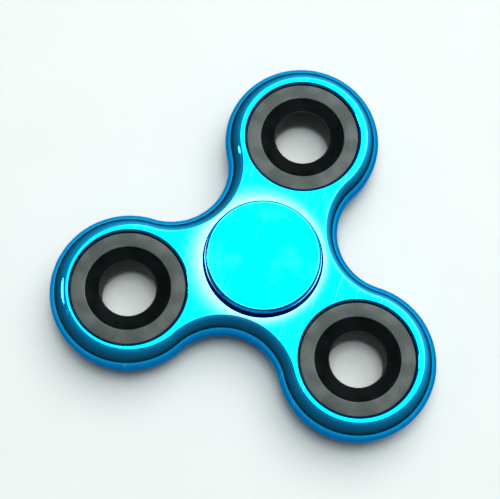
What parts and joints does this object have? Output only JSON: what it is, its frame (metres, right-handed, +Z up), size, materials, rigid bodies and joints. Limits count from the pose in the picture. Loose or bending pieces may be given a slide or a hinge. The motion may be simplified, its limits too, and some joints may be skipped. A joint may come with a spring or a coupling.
{
  "type": "fidget spinner",
  "caption": "Three-armed metal fidget spinner: a rounded, mirror-plated body with a ring weight in each arm turns on a shielded ball bearing between two finger caps.",
  "frame": {"origin": "centre of the lower cap's resting face, on the spin axis", "axes": "+Z up along the spin axis towards the upper cap, +Y towards the first arm"},
  "size_m": [0.075, 0.069, 0.013],
  "materials": {
    "plated_body": "mirror-bright blue-cyan plating over cast metal, fine hairline scratches",
    "plated_cap": "bright cyan plating with faint fingerprints, turned edge",
    "weight_steel": "black-oxide steel: grey satin rim, darker dished centre",
    "bearing_steel": "ground bearing steel",
    "ball_steel": "polished bearing steel",
    "cage_nylon": "moulded nylon",
    "shield_tin": "pressed sheet steel",
    "spring_steel": "spring steel wire strip"
  },
  "bodies": {
    "hub": {"lower_cap": "plated_cap", "upper_cap": "plated_cap", "inner_race": "bearing_steel"},
    "rotor": {"body": "plated_body", "weight_1": "weight_steel", "weight_2": "weight_steel", "weight_3": "weight_steel", "outer_race": "bearing_steel", "upper_shield": "shield_tin", "lower_shield": "shield_tin", "upper_clip": "spring_steel", "lower_clip": "spring_steel"},
    "cage": {"cage": "cage_nylon"},
    "ball_1": {"ball_1": "ball_steel"},
    "ball_2": {"ball_2": "ball_steel"},
    "ball_3": {"ball_3": "ball_steel"},
    "ball_4": {"ball_4": "ball_steel"},
    "ball_5": {"ball_5": "ball_steel"},
    "ball_6": {"ball_6": "ball_steel"},
    "ball_7": {"ball_7": "ball_steel"}
  },
  "joints": [
    {"name": "rotor_spin", "type": "hinge", "parent": "hub", "child": "rotor", "pos_m": [0, 0, 0.0065], "axis": [0, 0, 1], "continuous": true},
    {"name": "cage_spin", "type": "hinge", "parent": "hub", "child": "cage", "pos_m": [0, 0, 0.0065], "axis": [0, 0, 1], "continuous": true},
    {"name": "ball_1_roll", "type": "hinge", "parent": "cage", "child": "ball_1", "pos_m": [0, 0.0075, 0.0065], "axis": [0, 0, 1], "continuous": true},
    {"name": "ball_2_roll", "type": "hinge", "parent": "cage", "child": "ball_2", "pos_m": [-0.00586, 0.00468, 0.0065], "axis": [0, 0, 1], "continuous": true},
    {"name": "ball_3_roll", "type": "hinge", "parent": "cage", "child": "ball_3", "pos_m": [-0.00731, -0.00167, 0.0065], "axis": [0, 0, 1], "continuous": true},
    {"name": "ball_4_roll", "type": "hinge", "parent": "cage", "child": "ball_4", "pos_m": [-0.00325, -0.00676, 0.0065], "axis": [0, 0, 1], "continuous": true},
    {"name": "ball_5_roll", "type": "hinge", "parent": "cage", "child": "ball_5", "pos_m": [0.00325, -0.00676, 0.0065], "axis": [0, 0, 1], "continuous": true},
    {"name": "ball_6_roll", "type": "hinge", "parent": "cage", "child": "ball_6", "pos_m": [0.00731, -0.00167, 0.0065], "axis": [0, 0, 1], "continuous": true},
    {"name": "ball_7_roll", "type": "hinge", "parent": "cage", "child": "ball_7", "pos_m": [0.00586, 0.00468, 0.0065], "axis": [0, 0, 1], "continuous": true}
  ],
  "couplings": [
    {"joint": "cage_spin", "follows": "rotor_spin", "ratio": 0.6323},
    {"joint": "ball_1_roll", "follows": "rotor_spin", "ratio": 1.7573},
    {"joint": "ball_2_roll", "follows": "rotor_spin", "ratio": 1.7573},
    {"joint": "ball_3_roll", "follows": "rotor_spin", "ratio": 1.7573},
    {"joint": "ball_4_roll", "follows": "rotor_spin", "ratio": 1.7573},
    {"joint": "ball_5_roll", "follows": "rotor_spin", "ratio": 1.7573},
    {"joint": "ball_6_roll", "follows": "rotor_spin", "ratio": 1.7573},
    {"joint": "ball_7_roll", "follows": "rotor_spin", "ratio": 1.7573}
  ]
}
